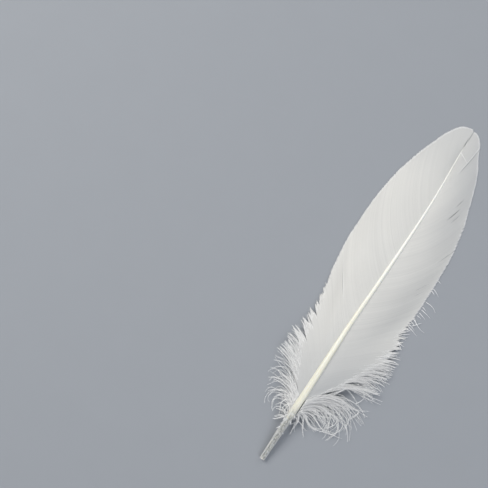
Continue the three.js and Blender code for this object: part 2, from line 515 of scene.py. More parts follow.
class FibreMesh:
    """Gathers closed fibres and joins them in one mesh, with a tone and a painted highlight share at
    each point.
    """

    def __init__(self) -> None:
        """Starts with no fibres."""
        self.points: list[np.ndarray] = []
        self.tones: list[np.ndarray] = []
        self.whites_and_highlights: list[np.ndarray] = []
        self.faces: list[list[int]] = []
        self.count = 0

    def _keep(self, points: np.ndarray, tone: Any, white_and_highlight: Any) -> np.ndarray:
        """Keeps points and their values.

        Args:
            points: Points, with any axes before the last.
            tone: Their tones, or what spreads over those axes.
            white_and_highlight: How far they take the near white of the painted highlight and of loose
                ends, in the same way.

        Returns:
            The points' numbers in the mesh, over those axes.
        """
        shape = points.shape[:-1]
        index = self.count + np.arange(math.prod(shape)).reshape(shape)
        self.points.append(points.reshape(-1, 3))
        self.tones.append(np.broadcast_to(tone, shape).reshape(-1))
        self.whites_and_highlights.append(np.broadcast_to(white_and_highlight, shape).reshape(-1))
        self.count += index.size
        return index

    def add_sections(
        self, sections: np.ndarray, tone: np.ndarray | float, white_and_highlight: np.ndarray | float = 0.0,
        turned: bool = False,
    ) -> None:
        """Adds fibres that are skinned over cross sections, and closes both their ends.

        Args:
            sections: Points over (fibre, place along it, corner of the section, 3).
            tone: Tone over (fibre, place), or one for all.
            white_and_highlight: Share of the painted highlight's near white, over (fibre, place), or one
                for all.
            turned: True if the corners run the other way round the fibre.
        """
        index = self._keep(sections, np.asarray(tone)[..., None], np.asarray(white_and_highlight)[..., None])
        beside = np.roll(index, -1, axis=2)
        quads = np.stack([index[:, :-1], beside[:, :-1], beside[:, 1:], index[:, 1:]], axis=-1)
        for part in (quads.reshape(-1, 4), index[:, 0, ::-1], index[:, -1]):
            self.faces.extend((part[:, ::-1] if turned else part).tolist())

    def add_spikes(self, base: np.ndarray, reach: np.ndarray, thickness: float, tone: float) -> None:
        """Adds straight three-sided spikes, such as barbules.

        Args:
            base: Where each starts, in rows of three.
            reach: From each base to its tip.
            thickness: Across the base.
            tone: Their tone.
        """
        along = unit(reach)
        helper = np.where(np.abs(along[:, 2:]) > 0.8, [[1.0, 0, 0]], [[0, 0, 1.0]])
        u = unit(np.cross(along, helper))
        v = np.cross(along, u)
        radius = thickness / math.sqrt(3)
        ring = [
            base + radius * (math.cos(turn) * u + math.sin(turn) * v)
            for turn in (0, math.tau / 3, 2 * math.tau / 3)
        ]
        index = self._keep(np.stack([*ring, base + reach], axis=1), tone, 0.0)
        for triple in ((0, 2, 1), (0, 1, 3), (1, 2, 3), (2, 0, 3)):
            self.faces.extend(index[:, triple].tolist())

    def build(self, name: str, material: bpy.types.Material) -> bpy.types.Object:
        """Makes the object.

        Args:
            name: The piece's name.
            material: Its finish.

        Returns:
            The object, with its place in its mesh.
        """
        mesh = bpy.data.meshes.new(name)
        mesh.from_pydata(LAY.metres(np.concatenate(self.points)), [], self.faces)
        for label, values in (("tone", self.tones), ("white_and_highlight", self.whites_and_highlights)):
            layer = mesh.attributes.new(label, "FLOAT", "POINT")
            layer.data.foreach_set("value", np.concatenate(values).astype(np.float32))
        mesh.materials.append(material)
        made = bpy.data.objects.new(name, mesh)
        bpy.context.scene.collection.objects.link(made)
        mesh.set_sharp_from_angle(angle=math.radians(55))
        return made


def along_lines(data: Sequence[np.ndarray], line: int, where: np.ndarray) -> list[np.ndarray]:
    """Reads arrays over (line, place, 3) between the places of one line.

    Args:
        data: The arrays.
        line: The number of the line.
        where: Shares of the way along it.

    Returns:
        For each array, its values there.
    """
    last = data[0].shape[1] - 1
    place = where * last
    low = np.minimum(place.astype(int), last - 1)
    rest = (place - low)[:, None]
    return [values[line, low] * (1 - rest) + values[line, low + 1] * rest for values in data]


def shorten(lines: np.ndarray, share: np.ndarray) -> np.ndarray:
    """Cuts lines short by sampling them again.

    Args:
        lines: Points over (line, place, coordinate).
        share: The share that is kept of each.

    Returns:
        The shorter lines, with as many places.
    """
    count, places, _ = lines.shape
    place = np.linspace(0, 1, places)[None] * share[:, None] * (places - 1)
    low = np.clip(place.astype(int), 0, places - 2)
    rest = (place - low)[..., None]
    line = np.arange(count)[:, None]
    return lines[line, low] * (1 - rest) + lines[line, low + 1] * rest


def tube_sections(path: np.ndarray, radius: np.ndarray, sides: int = 4) -> np.ndarray:
    """Round sections along fibres.

    Args:
        path: Points over (fibre, place, 3).
        radius: Radius over (fibre, place), or over (1, place) if all are alike.
        sides: Corners of a section.

    Returns:
        Section points over (fibre, place, corner, 3).
    """
    along = unit(np.gradient(path, axis=1))
    helper = np.where(np.abs(along[..., 2:]) > 0.85, [1.0, 0, 0], [0, 0, 1.0])
    u = unit(np.cross(helper, along))
    v = np.cross(along, u)
    turns = np.arange(sides) * math.tau / sides
    ring = np.cos(turns)[:, None] * u[..., None, :] + np.sin(turns)[:, None] * v[..., None, :]
    return path[..., None, :] + radius[..., None, None] * ring


# ------------------------------------------------------------------ vanes


@dataclass(frozen=True)
class Split:
    """A line where neighbouring barbs have unhooked: the web gapes, or one edge rides over the other.

    The split follows the barbs at root, and spreads over a few millimetres of roots beside it. Start,
    widest and end are shares of a barb's length. A gape below 0 laps the edges, and lift raises the
    edge on the tip's side of the split and paints a highlight along it.
    """

    root: float
    gape: float
    lift: float = 0.0
    start: float = 0.6
    widest: float = 1.0
    end: float = 1.4
    spread: float = 3.0
    edge_width: float = 0.6
    edge_glow: float = 1.6

    def push(self, roots: np.ndarray, part: np.ndarray) -> tuple[np.ndarray, np.ndarray, np.ndarray]:
        """How far each barb is moved.

        Args:
            roots: The barbs' roots.
            part: Places along a barb, between 0 and 1.

        Returns:
            The moves towards the tip and upwards, in millimetres, and how strong the painted highlight
            on the torn edge is, all over (barb, place).
        """
        away = (roots - self.root)[:, None]
        strength = ease(part, self.start, self.widest) * (1 - ease(part, self.widest, self.end))
        # Painted highlight along the lifted edge.
        edge = self.edge_glow * self.lift * strength * (away > 0) * (away < self.edge_width)
        strength = strength * np.exp(-np.abs(away) / self.spread)
        return 0.5 * self.gape * np.sign(away) * strength, self.lift * (away > 0) * strength, edge


@dataclass(frozen=True)
class Barbules:
    """How loose barbules stand off a fibre. Taper is the share of their size lost towards its tip."""

    spacing: float
    sizes: Span
    taper: float
    slant: Span = (16, 46)
    lift: float = 0.3
    thickness: float = 0.05
    latest_start: float = 0.98
    last_place: float = 0.995
    table: float = 0.05

    def grow(
        self, fluff: FibreMesh, draw: np.random.Generator, lines: np.ndarray, starts: np.ndarray,
        tone: np.ndarray, scale: np.ndarray,
    ) -> None:
        """Grows barbules on both sides of fibres.

        Args:
            fluff: The mesh that takes them.
            draw: The random draws.
            lines: The fibres, over (fibre, place, 3).
            starts: The share of each fibre at which its barbules start.
            tone: The tone of each fibre.
            scale: The size of each fibre's barbules, where 1 is ordinary.
        """
        along = unit(np.gradient(lines, axis=1))
        flat = unit(np.cross(UP, along))
        length = lengths(lines)
        for fibre, start in enumerate(np.clip(starts, 0, self.latest_start)):
            count = int(length[fibre] * (1 - start) / self.spacing)
            for turn in (-1, 1):
                where = draw.uniform(start, self.last_place, count)
                base, forward, beside = along_lines((lines, along, flat), fibre, where)
                angle = np.radians(draw.uniform(*self.slant, count))[:, None]
                rise = draw.normal(0, self.lift, count)[:, None] * UP
                size = draw.uniform(*self.sizes, count) * scale[fibre] * (1 - self.taper * where)
                reach = (np.cos(angle) * forward + turn * np.sin(angle) * beside + rise) * size[:, None]
                reach[:, 2] = np.maximum(reach[:, 2], self.table - base[:, 2])
                fluff.add_spikes(base, reach, self.thickness, tone[fibre])


FREE_BARBULES = Barbules(0.15, (0.5, 1.3), 0.72)
DOWN_BARBULES = Barbules(0.165, (0.7, 1.7), 0.75, slant=(14, 42), thickness=0.056)


@dataclass
class Vane:
    """One vane: several hundred barbs hooked together, with free and tufted ends near the quill.

    A barb is known by its root, the y at which it leaves the shaft. Each row of these starts with a
    root: barb_tips (x and y of the tip), free_share (the share of the barb that is unhooked),
    turn_out and turn_in (degrees off the straight line at which it leaves and arrives). A row of
    loose_hairs is (y, x, length, angle from the tip, curl). Locks are the runs of barbs whose free
    ends are drawn together. A lock's strays, and each barb's own, are sideways and upwards, in shares
    of stray_reach. Uneven is the share by which hooked and free barbs fall short, and pointed the
    share for each barb off a lock's middle.
    """

    side: Side
    seed: int
    barb_tips: Rows
    free_share: Rows
    splits: Sequence[Split]
    streaks: float
    loose_hairs: Rows = ()
    first_root: float = 32.8
    last_root: float = 168.0
    barb_spacing: float = 0.54
    places: int = 24
    turn_out: Rows = (
        (32, -27), (36, -22), (40, -16), (48, -6), (57, 3), (70, 10), (92, 17), (118, 19), (149, 11),
        (168, 3),
    )
    turn_in: Rows = (
        (32, -30), (40, -30), (48, -24), (57, -17), (66, -4), (78, 10), (118, 17), (149, 6), (168, 1),
    )
    bow: float = 0.36
    camber: tuple[float, float] = (1.7, 1.35)
    margin_height: float = 0.28
    ramus_half: float = 0.055
    ramus_rise: float = 0.06
    keel: float = 0.15
    web_onward: float = 0.72
    web_back: float = 0.42
    overlap: float = 1.25
    free_half_width: float = 0.12
    web_sinks: Span = (0.015, 0.05)
    own_tone: float = 0.13
    gathered: float = 0.74
    stray_reach: float = 22.0
    lock_strays: Span = (0.10, 0.05)
    own_strays: Span = (0.06, 0.05)
    uneven: Span = (0.003, 0.075)
    pointed: float = 0.035
    wisps: int = 210
    wisp_places: int = 14
    wisp_radius: float = 0.05
    hair_places: int = 9
    hair_radius: float = 0.165

    def __post_init__(self) -> None:
        """Lays out the roots and the random draws that the barbs share."""
        self.random = np.random.default_rng(self.seed)
        count = int((self.last_root - self.first_root) / self.barb_spacing)
        jitter = self.random.uniform(-0.12, 0.12, count)
        self.roots = self.first_root + (np.arange(count) + 0.5 + jitter) * self.barb_spacing
        self.part = np.linspace(0, 1, self.places)
        self.free = Track(self.free_share)(self.roots)
        self.locks = np.repeat(np.arange(count), self.random.integers(1, 6, count))[:count]

    def _sheet(self) -> np.ndarray:
        """Lays the barbs out as they lie when nothing is torn or loose.

        Returns:
            Their lines, over (barb, place, 3).
        """
        side = self.side.value
        y = self.roots
        root = SHAFT_LINE.centre(y)
        half = SHAFT_LINE.half_width(y)
        root[:, 0] += side * half * 0.8
        root[:, 2] += half * 0.3
        tip = Track(self.barb_tips)(y)
        reach = tip - root[:, :2]
        pull = np.linalg.norm(reach, axis=1)[:, None] * self.bow
        heading = np.arctan2(side * reach[:, 0], reach[:, 1])
        leave = heading + np.radians(Track(self.turn_out)(y))
        arrive = heading - np.radians(Track(self.turn_in)(y))
        start = root[:, :2] + pull * np.stack([side * np.sin(leave), np.cos(leave)], axis=1)
        stop = tip - pull * np.stack([side * np.sin(arrive), np.cos(arrive)], axis=1)
        # Seen from above, each barb is one curve with a pull at its root and one at its tip.
        t = self.part[None, :, None]
        plan = (
            (1 - t) ** 3 * root[:, None, :2] + 3 * t * (1 - t) ** 2 * start[:, None]
            + 3 * t * t * (1 - t) * stop[:, None] + t**3 * tip[:, None]
        )
        # Seen from the side, it leaves the shaft level and comes down to the table, with slight waves.
        sunk = 1 - (1 - self.part ** self.camber[0]) ** self.camber[1]
        height = root[:, 2:] + (self.margin_height - root[:, 2:]) * sunk[None, :]
        waves = 0.09 * np.sin(y[:, None] / 7.5 + 3 * self.part) + 0.03 * np.sin(y[:, None] / 3.1 + 1.7)
        height = height + waves * 4 * self.part * (1 - self.part) * np.clip(root[:, 2:] / 4, 0, 1)
        return np.concatenate([plan, np.maximum(height, self.margin_height)[..., None]], axis=2)

    def _frames(self, sheet: np.ndarray) -> tuple[np.ndarray, np.ndarray]:
        """Directions over the sheet.

        Args:
            sheet: The barbs' lines.

        Returns:
            The direction towards the next barb, and the distance to it.
        """
        along = unit(np.gradient(sheet, axis=1))
        onward = np.gradient(sheet, axis=0)
        across = unit(onward - along * np.sum(onward * along, axis=2, keepdims=True))
        return across, np.sum(onward * across, axis=2)

    def _gather(self, sheet: np.ndarray, across: np.ndarray) -> tuple[np.ndarray, np.ndarray]:
        """Opens the splits and draws the free ends of each lock together.

        Args:
            sheet: The barbs' lines.
            across: The direction towards the next barb.

        Returns:
            The moved lines, and how strong the painted highlight on the torn edges is, over (barb,
            place).
        """
        # The barbs of a lock close on its middle one, less so where most of the barb is free.
        count = len(self.roots)
        middle = np.array([self.roots[self.locks == lock].mean() for lock in self.locks])
        leader = np.clip(np.searchsorted(self.roots, middle), 0, count - 1)
        loose = ease(self.part[None], 1 - self.free[:, None], 1.02)
        wide = np.clip(self.free * 6, 0, 1)
        drawn = self.gathered * (1 - 0.6 * ease(self.free, 0.4, 0.7))[:, None]
        moved = sheet + (sheet[leader] - sheet) * (loose * wide[:, None] * drawn)[..., None]
        # Free ends stray with their lock, and each on its own.
        per_lock = self.random.normal(0, 1, (2, self.locks.max() + 1))[:, self.locks, None]
        per_barb = self.random.normal(0, 1, (3, count))[..., None]
        reach = self.free[:, None] * self.stray_reach * loose**1.5
        sideways = reach * (self.lock_strays[0] * per_lock[0] + self.own_strays[0] * per_barb[0])
        upward = reach * (
            self.lock_strays[1] * np.abs(per_lock[1]) + self.own_strays[1] * np.abs(per_barb[1])
        )
        edges = np.zeros_like(upward)
        for split in self.splits:
            onward, lift, edge = split.push(self.roots, self.part[None])
            sideways, upward, edges = sideways + onward, upward + lift, edges + edge
        moved = moved + sideways[..., None] * across + upward[..., None] * UP
        # Their tips are uneven, and a lock runs to a point.
        uneven = (self.uneven[0] + self.uneven[1] * wide) * np.abs(per_barb[2, :, 0])
        pointed = self.pointed * wide * np.abs(self.roots - middle) / self.barb_spacing
        return shorten(moved, 1 - uneven - pointed), edges

    def _tone(self) -> np.ndarray:
        """Draws the barbs' tones.

        Returns:
            A tone for each barb: its own, one that its neighbours share, and its lock's.
        """
        own = self.random.normal(0, self.own_tone, len(self.roots))
        shared = 0.03 * np.sin(self.roots / 4.3) + 0.02 * np.sin(self.roots / 1.9 + 2)
        lock = self.random.normal(0, self.streaks, self.locks.max() + 1)[self.locks]
        return np.clip(0.5 + own + shared + lock, 0, 1)

    def build(
        self, finish: bpy.types.Material, fringe_finish: bpy.types.Material
    ) -> list[bpy.types.Object]:
        """Makes the web of barbs and the loose fringe along its tufted stretch.

        Args:
            finish: The web's material.
            fringe_finish: The fringe's material.

        Returns:
            The two pieces.
        """
        name = self.side.name.capitalize()
        sheet = self._sheet()
        across, pitch = self._frames(sheet)
        lines, edges = self._gather(sheet, across)
        along = unit(np.gradient(lines, axis=1))
        across = unit(across - along * np.sum(across * along, axis=2, keepdims=True))
        normal = np.cross(along, across) * self.side.value
        tone = self._tone()
        free_start = 1 - self.free[:, None]
        hooked = 1 - 0.85 * ease(self.part[None], free_start + 0.1 * self.free[:, None], 1.0)
        fringe = (1 - hooked) * ease(self.free, 0.04, 0.25)[:, None]
        # The margin and the lifted torn edges carry a painted highlight, and the free ends are whiter.
        web = FibreMesh()
        web.add_sections(
            self._sections(lines, across, normal, pitch, hooked),
            np.clip(tone[:, None] + 0.3 * (1 - hooked), 0, 1),
            np.clip(self._margin_highlight() + edges + 0.7 * fringe, 0, 1), turned=self.side is Side.LEFT,
        )
        if self.loose_hairs:
            self._add_loose_hairs(web, lines)
        fluff = FibreMesh()
        self._add_free_fluff(fluff, lines, across, tone)
        return [
            web.build(f"{name}_Vane_Barbs", finish), fluff.build(f"{name}_Vane_Fringe", fringe_finish)
        ]

    def _margin_highlight(self) -> np.ndarray:
        """How strong the margin's painted highlight is, over (barb, place). Only its outermost half
        millimetre has it.
        """
        hooked = 1 - np.clip((self.free - 0.012) * 14, 0, 1)
        return ease(self.part[None], 0.964, 0.977) * hooked[:, None]

    def _sections(
        self, lines: np.ndarray, across: np.ndarray, normal: np.ndarray, pitch: np.ndarray,
        hooked: np.ndarray,
    ) -> np.ndarray:
        """Cross sections of the barbs: a ridge with a keel, and a thin web on each side.

        Args:
            lines: The barbs' lines.
            across: The direction towards the next barb.
            normal: The sheet's normal.
            pitch: The distance to the next barb.
            hooked: 1 where the barb is hooked to its neighbours, 0 where it is free.

        Returns:
            Section points over (barb, place, corner, 3).
        """
        point = 1 - 0.3 * ease(self.part[None], 0.988, 1.0)
        bare = self.free_half_width * (1 - 0.6 * self.part[None])
        onward, back = (
            (bare + (pitch * share * self.overlap - bare) * hooked) * point
            for share in (self.web_onward, self.web_back)
        )
        thick = point * (1 - 0.55 * self.part[None])
        half = self.ramus_half * thick
        corners = (
            (onward, -self.web_sinks[0] * hooked), (half, self.ramus_rise * thick),
            (-half, self.ramus_rise * thick), (-back, -self.web_sinks[1] * hooked),
            (0 * half, -self.keel * thick),
        )
        return np.stack(
            [lines + aside[..., None] * across + up[..., None] * normal for aside, up in corners], axis=2
        )

    def _wisps(self, lines: np.ndarray, across: np.ndarray) -> tuple[np.ndarray, np.ndarray]:
        """Finer strands that start along the free barbs and stray from them.

        Args:
            lines: The barbs' lines.
            across: The direction towards the next barb.

        Returns:
            Their lines, over (strand, place, 3), and the barb that each starts along.
        """
        draw = self.random
        count = self.wisps
        barb = draw.choice(np.flatnonzero(self.free > 0.06), count)
        start = 1 - self.free[barb] * draw.uniform(0.55, 1.1, count)
        t = np.linspace(0, 1, self.wisp_places)[None]
        where = start[:, None] + (draw.uniform(0.86, 1.0, count) - start)[:, None] * t
        read = [along_lines((lines, across), strand, place) for strand, place in zip(barb, where)]
        path, beside = (np.array(part) for part in zip(*read))
        length = np.linalg.norm(path[:, -1] - path[:, 0], axis=1)[:, None]
        turn, bend = draw.normal(0, 0.12, (count, 1)), draw.normal(-0.05, 0.13, (count, 1))
        stray = length * (turn * t + bend * t**2)
        rise = length * np.abs(draw.normal(0, 0.07, (count, 1))) * t
        path = path + stray[..., None] * beside + rise[..., None] * UP
        path[..., 2] = np.clip(path[..., 2], 0.14, None)
        return path, barb

    def _add_free_fluff(
        self, fluff: FibreMesh, lines: np.ndarray, across: np.ndarray, tone: np.ndarray
    ) -> None:
        """Adds the strands between the free barbs, and the loose barbules of both.

        Args:
            fluff: The mesh that takes them.
            lines: The barbs' lines.
            across: The direction towards the next barb.
            tone: The tone of each barb.
        """
        free = self.free > 0.02
        scale = 0.28 + 0.72 * np.clip(self.free / 0.6, 0, 1)
        starts, whiter = 1 - 0.8 * self.free, np.clip(tone + 0.3, 0, 1)
        FREE_BARBULES.grow(fluff, self.random, lines[free], starts[free], whiter[free], scale[free])
        wisps, barb = self._wisps(lines, across)
        own = self.random.uniform(0.3, 1, len(wisps))
        radius = self.wisp_radius * (1 - 0.6 * np.linspace(0, 1, self.wisp_places)[None])
        fluff.add_sections(tube_sections(wisps, radius, 3), own[:, None])
        FREE_BARBULES.grow(fluff, self.random, wisps, np.zeros(len(wisps)), own, scale[barb])

    def _add_loose_hairs(self, web: FibreMesh, lines: np.ndarray) -> None:
        """Adds the single hairs that stand off the margin or lie on the web.

        Args:
            web: The mesh that takes them.
            lines: The barbs' lines.
        """
        y, x, length, angle, curl = np.array(self.loose_hairs).T[..., None]
        t = np.linspace(0, 1, self.hair_places)[None]
        heading = np.radians(angle + curl * t)
        step = length / self.hair_places
        x = self.side.value * (x + np.cumsum(np.sin(heading) * step, axis=1))
        y = y + np.cumsum(np.cos(heading) * step, axis=1)
        z = self.margin_height + 0.14 * length * np.sin(np.pi * np.clip(t * 1.05, 0, 1))
        # A hair that crosses the web lies on it.
        path = np.stack([x, y, z], axis=-1)
        sheet = lines.reshape(-1, 3)
        away = np.linalg.norm(path[..., None, :2] - sheet[:, :2], axis=-1)
        under = np.where(away.min(axis=-1) < 0.8, sheet[away.argmin(axis=-1), 2] + 0.1, 0)
        path[..., 2] = np.maximum(z, under)
        radius = self.hair_radius * (1 - 0.6 * t) * np.where(under > z, 0.6, 1)
        web.add_sections(tube_sections(path, radius), 0.9, 1.0)


# ------------------------------------------------------------------ down


@dataclass
class Down:
    """The loose tuft at the foot of a vane: curly barbs that follow a few guides, and stray strands.

    A guide is a row of drawn (x, y) points from the shaft to a tip, lowest guide first. Crowds has
    a row for each guide: how many barbs start there, and over how many guides they spread. Each of
    the strands is such a row of points too, and a few barbs keep close to it. Starts are radians round
    the shaft, drops how soon barbs come down, lofts how far they arch for 20 mm of their length, and
    rests how high their tips lie.
    """

    side: Side
    seed: int
    guides: Sequence[Rows]
    crowds: Rows
    strands: Sequence[Rows]
    reach: float
    soft_edge: float = 5.0
    per_strand: int = 2
    strand_wild: float = 0.25
    clumps: int = 2
    places: int = 26
    ramus: float = 0.18
    shortest: float = 0.38
    sway: float = 0.035
    sway_waves: Span = (5, 14)
    turn: float = 0.065
    turn_limit: float = 2.6
    hook: float = 0.13
    starts: Span = (-0.8, 0.6)
    drops: Span = (1.0, 2.2)
    lofts: Span = (-0.8, 1.6)
    rests: Span = (0.15, 1.4)
    lowest: float = 0.14
    highest: float = 6.4

    def __post_init__(self) -> None:
        """Starts the tuft's own row of random draws."""
        self.random = np.random.default_rng(self.seed)
        self.part = np.linspace(0, 1, self.places)

    def _curves(self, rows: Sequence[Rows]) -> np.ndarray:
        """Draws smooth curves through points.

        Args:
            rows: The rows of points.

        Returns:
            The curves, over (row, place, 2).
        """
        curves = []
        for row in rows:
            points = np.array(row, float)
            far = np.cumsum([0, *np.linalg.norm(np.diff(points, axis=0), axis=1)])
            bend = np.polynomial.polynomial.polyfit(far / far[-1], points, min(5, len(points) - 1))
            curves.append(np.polynomial.polynomial.polyval(self.part, bend).T)
        return np.array(curves)

    def _crowd(self) -> tuple[np.ndarray, np.ndarray]:
        """Draws the barbs that follow the guides.

        Returns:
            Their lines over (barb, place, 2), and how high each starts, between 0 and 1.
        """
        draw = self.random
        crowds = np.array(self.crowds, float)
        last = len(crowds) - 1
        own, spread = (
            np.repeat(values, crowds[:, 0].astype(int)) for values in (np.arange(last + 1), crowds[:, 1])
        )
        count = len(own)
        guide = np.clip(own + spread * draw.uniform(-0.5, 0.5, count), 0, last)
        clump = (np.floor(guide * self.clumps) + draw.uniform(0.35, 0.65, count)) / self.clumps
        gathered = 0.75 * ease(self.part[None], 0.35, 1.0) * (spread > 0.5)[:, None]
        where = np.clip(guide[:, None] + (clump - guide)[:, None] * gathered, 0, last - 0.001)
        curves = self._curves(self.guides)
        low = where.astype(int)
        places = np.arange(self.places)[None]
        rest = (where - low)[..., None]
        plan = curves[low, places] * (1 - rest) + curves[low + 1, places] * rest
        high = ease(guide / last, 0.3, 1.0)
        share = self.shortest + (1 - self.shortest) * draw.uniform(0, 1, count) ** 1.5
        # The barbs between the lowest and the highest stray most.
        wild = 0.6 + 1.4 * ease(guide, 2, 5) - 1.1 * high
        return self._stray(plan, share, wild[:, None]), high

    def _paths(self) -> np.ndarray:
        """Draws all the tuft's barbs.

        Returns:
            Their lines, over (barb, place, 3).
        """
        draw = self.random
        crowd, high = self._crowd()
        strands = np.repeat(self._curves(self.strands), self.per_strand, axis=0)
        strands = self._stray(strands, draw.uniform(0.93, 1.0, len(strands)), self.strand_wild)
        plan = np.concatenate([crowd, strands])
        high = np.concatenate([high, np.zeros(len(strands))])[:, None]
        count = len(plan)
        # Barbs that would pass the tuft's reach are squeezed in, not cut.
        outward = self.side.value * plan[..., 0]
        edge = self.reach - self.soft_edge
        held = edge + self.soft_edge * np.tanh((outward - edge) / self.soft_edge)
        plan[..., 0] = self.side.value * np.where(outward > edge, held, outward)
        # A barb leaves the flank of the shaft and comes down to the table, a high one later.
        t = self.part[None]
        drop = draw.uniform(*self.drops, count)[:, None]
        settle = (1 - t ** (1 + 0.7 * high)) ** (drop + (1.35 - drop) * high)
        length = lengths(plan)[:, None]
        loft = draw.uniform(*self.lofts, count)[:, None] * np.sin(np.pi * t) * length / 20
        loft = loft * (1 - 0.75 * high)
        rest = draw.uniform(*self.rests, count)[:, None] * t
        around = draw.uniform(*self.starts, count)
        root = plan[:, 0, 1]
        start = SHAFT_LINE.centre(root)[:, 2] + SHAFT_LINE.half_width(root) * np.sin(around)
        z = np.clip(start[:, None] * settle + loft + rest, self.lowest, self.highest)
        return np.concatenate([plan, z[..., None]], axis=2)

    def _stray(self, plan: np.ndarray, share: np.ndarray, wild: np.ndarray | float) -> np.ndarray:
        """Cuts the barbs to a share of their length, and sways, turns and hooks them.

        Args:
            plan: Lines over (barb, place, 2).
            share: The share that is kept of each.
            wild: How far each strays, where 1 is ordinary: rows of one, or one for all.

        Returns:
            The changed lines.
        """
        draw = self.random
        count = len(plan)
        plan = shorten(plan, share)
        t = self.part[None]
        along = unit(np.gradient(plan, axis=1))
        aside = np.stack([along[..., 1], -along[..., 0]], axis=-1)
        sway = draw.normal(0, self.sway, (count, 1))
        sway = sway * np.sin(t * draw.uniform(*self.sway_waves, (count, 1))) * t
        turn = np.clip(draw.standard_t(3, (count, 1)), -self.turn_limit, self.turn_limit)
        turn = turn * self.turn * t
        hook = draw.normal(0, self.hook, (count, 1)) * ease(t, 0.6, 1.3) ** 2 * 2
        return plan + (lengths(plan)[:, None] * wild * (sway + turn + hook))[..., None] * aside

    def build(self, finish: bpy.types.Material) -> bpy.types.Object:
        """Makes the tuft.

        Args:
            finish: Its material.

        Returns:
            The piece.
        """
        paths = self._paths()
        count = len(paths)
        tone = self.random.uniform(0.3, 1, count)
        fluff = FibreMesh()
        radius = 0.5 * self.ramus * (1 - 0.6 * self.part[None])
        fluff.add_sections(tube_sections(paths, radius), tone[:, None])
        sizes = self.random.uniform(0.8, 1.1, count)
        DOWN_BARBULES.grow(fluff, self.random, paths, np.full(count, 0.02), tone, sizes)
        return fluff.build(f"{self.side.name.capitalize()}_Down", finish)


# ------------------------------------------------------------------ shaft


def deselect_all() -> None:
    """Leaves nothing selected and no object being edited."""
    if bpy.context.object is not None and bpy.context.object.mode != "OBJECT":
        bpy.ops.object.mode_set(mode="OBJECT")
    bpy.ops.object.select_all(action="DESELECT")


@dataclass
class Station:
    """One cross section of a drawn-out tube: its middle, and its half width and half height."""

    middle: np.ndarray
    half_width: float
    half_height: float


class DrawnTube:
    """A tube modelled by extruding one end ring from station to station."""

    def __init__(self, name: str, first: Station, sides: int) -> None:
        """Adds the first ring, as a filled circle across the feather.

        Args:
            name: The piece's name.
            first: Where the tube starts.
            sides: Corners of each ring.
        """
        deselect_all()
        bpy.ops.mesh.primitive_circle_add(
            vertices=sides, radius=first.half_width * MM, fill_type="NGON",
            location=LAY.metres(first.middle), rotation=(math.pi / 2, 0, 0),
        )
        self.object = bpy.context.object
        self.object.name = name
        self.object.data.name = name
        bpy.ops.object.transform_apply(location=True, rotation=True, scale=True)
        bpy.ops.object.mode_set(mode="EDIT")
        bpy.ops.mesh.select_mode(type="FACE")
        bpy.ops.mesh.select_all(action="SELECT")
        self.here = first

    def extrude(self, station: Station) -> None:
        """Draws the selected ring on, and sizes it there.

        Args:
            station: The next station.
        """
        move = (station.middle - self.here.middle) * MM
        bpy.ops.mesh.extrude_region_move(TRANSFORM_OT_translate={"value": tuple(move)})
        bpy.ops.transform.resize(
            value=(
                station.half_width / self.here.half_width, 1.0,
                station.half_height / self.here.half_height,
            ),
            center_override=tuple(LAY.metres(station.middle)),
        )
        self.here = station

    def close(self) -> None:
        """Draws the selected ring together in one point."""
        bpy.ops.mesh.merge(type="CENTER")

    def pick_end(self, y: float) -> None:
        """Selects only the face that closes an end.

        Args:
            y: Where that face lies, in millimetres from the cut end.
        """
        shape = bmesh.from_edit_mesh(self.object.data)
        level = LAY.metres(np.array([0, y, 0]))[1]
        for face in shape.faces:
            off = abs(face.calc_center_median().y - level)
            face.select = bool(off < 0.02 * MM and abs(face.normal.y) > 0.9)
        bmesh.update_edit_mesh(self.object.data)

    def pick_ring(self, station: Station, half_angle: float) -> None:
        """Selects the corners of one ring that face down.

        Args:
            station: Where the ring is.
            half_angle: How many degrees off straight down they may be.
        """
        shape = bmesh.from_edit_mesh(self.object.data)
        middle = LAY.metres(station.middle)
        for vertex in shape.verts:
            off = np.array(vertex.co) - middle
            down = math.degrees(math.atan2(abs(off[0]), -off[2]))
            vertex.select = bool(abs(off[1]) < 0.05 * MM and down < half_angle)
        shape.select_flush_mode()
        bmesh.update_edit_mesh(self.object.data)

    def _put_in_order(self) -> None:
        """Puts the faces in the order of their corners. Extruding leaves them in a chance order."""
        mesh = self.object.data
        points = [tuple(vertex.co) for vertex in mesh.vertices]
        faces = []
        for face in mesh.polygons:
            corners = list(face.vertices)
            first = corners.index(min(corners))
            faces.append(corners[first:] + corners[:first])
        mesh.clear_geometry()
        mesh.from_pydata(points, [], sorted(faces))

    def finish(self, material: bpy.types.Material, sharp_angle: float) -> bpy.types.Object:
        """Turns the faces outwards, rounds the tube and dresses it.

        Args:
            material: Its finish.
            sharp_angle: The angle in degrees from which an edge stays sharp.

        Returns:
            The piece.
        """
        bpy.ops.mesh.select_all(action="SELECT")
        bpy.ops.mesh.normals_make_consistent(inside=False)
        bpy.ops.object.mode_set(mode="OBJECT")
        self._put_in_order()
        smooth = self.object.modifiers.new("Smooth", "SUBSURF")
        smooth.levels = smooth.render_levels = 1
        bpy.ops.object.modifier_apply(modifier=smooth.name)
        bpy.ops.object.shade_smooth_by_angle(angle=math.radians(sharp_angle))
        self.object.data.materials.append(material)
        return self.object


